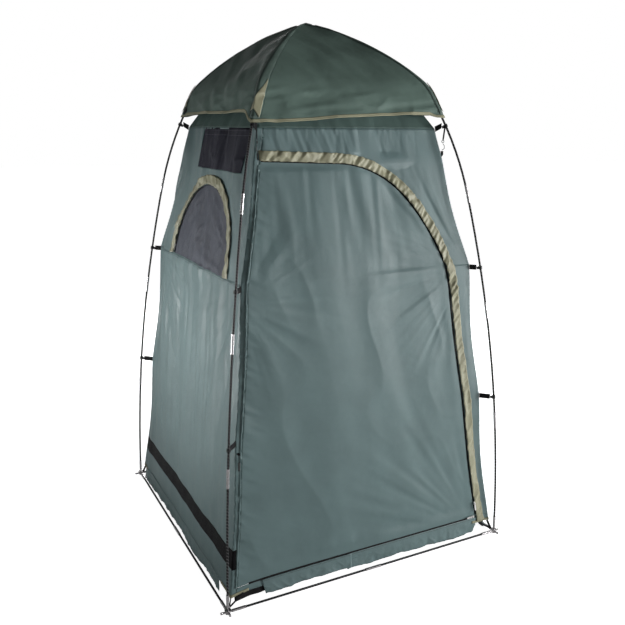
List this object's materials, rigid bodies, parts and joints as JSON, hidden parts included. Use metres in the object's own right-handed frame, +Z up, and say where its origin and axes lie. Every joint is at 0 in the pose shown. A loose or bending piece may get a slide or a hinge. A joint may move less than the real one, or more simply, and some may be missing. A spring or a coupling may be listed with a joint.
{
  "type": "privacy shower tent",
  "caption": "Tall square privacy tent on a corner-pole frame, with a zipped arched door, an arched mesh window, hung tapered walls and a separate domed roof fly.",
  "frame": {"origin": "on the ground at the centre of the base square", "axes": "+Z up, the door faces -Y, the window wall faces -X"},
  "size_m": [1.2764, 1.2764, 2.0875],
  "materials": {
    "fibreglass": "pultruded glass fibre, satin black",
    "steel": "zinc-plated steel tube",
    "hardware_black": "moulded, matt black",
    "shock_cord": "braided elastic cord",
    "green_cloth": "coated plain-weave polyester, grey-green",
    "roof_cloth": "coated plain-weave polyester, dark green",
    "tan_tape": "ribbed tan binding tape and flap cloth",
    "black_mesh": "knitted polyester mesh",
    "grey_mesh": "fine insect mesh",
    "black_webbing": "woven polypropylene webbing",
    "zip_tape": "zip tape with nylon coil",
    "zip_metal": "nickel-plated zinc"
  },
  "bodies": {
    "root": {"back_wall_lower": "green_cloth", "back_wall_upper": "green_cloth", "base_rods": "fibreglass", "corner_hubs": "steel", "corner_tabs": "black_webbing", "crown_hub": "hardware_black", "crown_rods": "fibreglass", "drain_mesh": "black_mesh", "foot_straps": "black_webbing", "front_header": "green_cloth", "front_sill": "green_cloth", "front_skirt": "green_cloth", "front_strip_left": "green_cloth", "front_strip_right": "green_cloth", "ground_skirts": "green_cloth", "hem_binding": "tan_tape", "hem_panels": "green_cloth", "inner_sill": "black_webbing", "left_wall_lower": "green_cloth", "left_wall_upper": "green_cloth", "leg_rods_back_left": "fibreglass", "leg_rods_back_right": "fibreglass", "leg_rods_front_left": "fibreglass", "leg_rods_front_right": "fibreglass", "pole_clips": "hardware_black", "pole_ferrules": "steel", "right_wall_lower": "green_cloth", "right_wall_upper": "green_cloth", "roof_back": "roof_cloth", "roof_binding": "tan_tape", "roof_elbows": "steel", "roof_front": "roof_cloth", "roof_left": "roof_cloth", "roof_patches": "tan_tape", "roof_right": "roof_cloth", "roof_webbing": "black_webbing", "shock_cords": "shock_cord", "shoulder_panels": "green_cloth", "storm_flap": "tan_tape", "strap_rings": "steel", "tension_hooks": "hardware_black", "tension_straps": "black_webbing", "tip_sleeves": "steel", "toggle_keeper": "black_webbing", "vent_mesh": "black_mesh", "wall_tabs": "black_webbing", "window_flap": "tan_tape", "window_mesh": "grey_mesh", "window_zip": "zip_tape"},
    "door": {"door_panel": "green_cloth", "door_zip": "zip_tape", "bottom_zip": "zip_tape"},
    "door_slider": {"door_slider": "zip_metal"},
    "door_pull": {"door_pull": "zip_metal"},
    "bottom_slider": {"bottom_slider": "zip_metal"},
    "bottom_pull": {"bottom_pull": "zip_metal"},
    "window_cover": {"window_cover": "green_cloth"},
    "window_slider": {"window_slider": "zip_metal"},
    "toggle": {"toggle_cord": "black_webbing", "toggle_barrel": "hardware_black"}
  },
  "joints": [
    {"name": "door_swing", "type": "hinge", "parent": "root", "child": "door", "pos_m": [-0.55376, -0.57376, 0.25], "axis": [-0.1239, -0.1239, -0.9845], "range_deg": [0, 90]},
    {"name": "door_slider_run", "type": "slide", "parent": "door", "child": "door_slider", "axis": [-0.1304, 0.0922, 0.9872], "range_m": [0, 0.86]},
    {"name": "door_pull_turn", "type": "hinge", "parent": "door_slider", "child": "door_pull", "pos_m": [0.51131, -0.59066, 0.15071], "axis": [-0.9915, -0.0121, -0.1299], "range_deg": [0, 150]},
    {"name": "bottom_slider_run", "type": "slide", "parent": "door", "child": "bottom_slider", "axis": [-1, 0, 0], "range_m": [0, 0.95]},
    {"name": "bottom_pull_turn", "type": "hinge", "parent": "bottom_slider", "child": "bottom_pull", "pos_m": [0.503, -0.59594, 0.09421], "axis": [0, 0.093, 0.9957], "range_deg": [0, 150]},
    {"name": "window_cover_swing", "type": "hinge", "parent": "root", "child": "window_cover", "pos_m": [-0.4805, 0, 1.161], "axis": [0, -1, 0], "range_deg": [0, 166]},
    {"name": "window_slider_turn", "type": "hinge", "parent": "root", "child": "window_slider", "pos_m": [-0.48507, -0.02, 1.17863], "axis": [0.9768, 0, -0.2144], "range_deg": [0, 173]},
    {"name": "toggle_swing", "type": "hinge", "parent": "root", "child": "toggle", "pos_m": [-0.53391, -0.55441, 0.5725], "axis": [1, 0, 0], "range_deg": [-90, 0]}
  ]
}
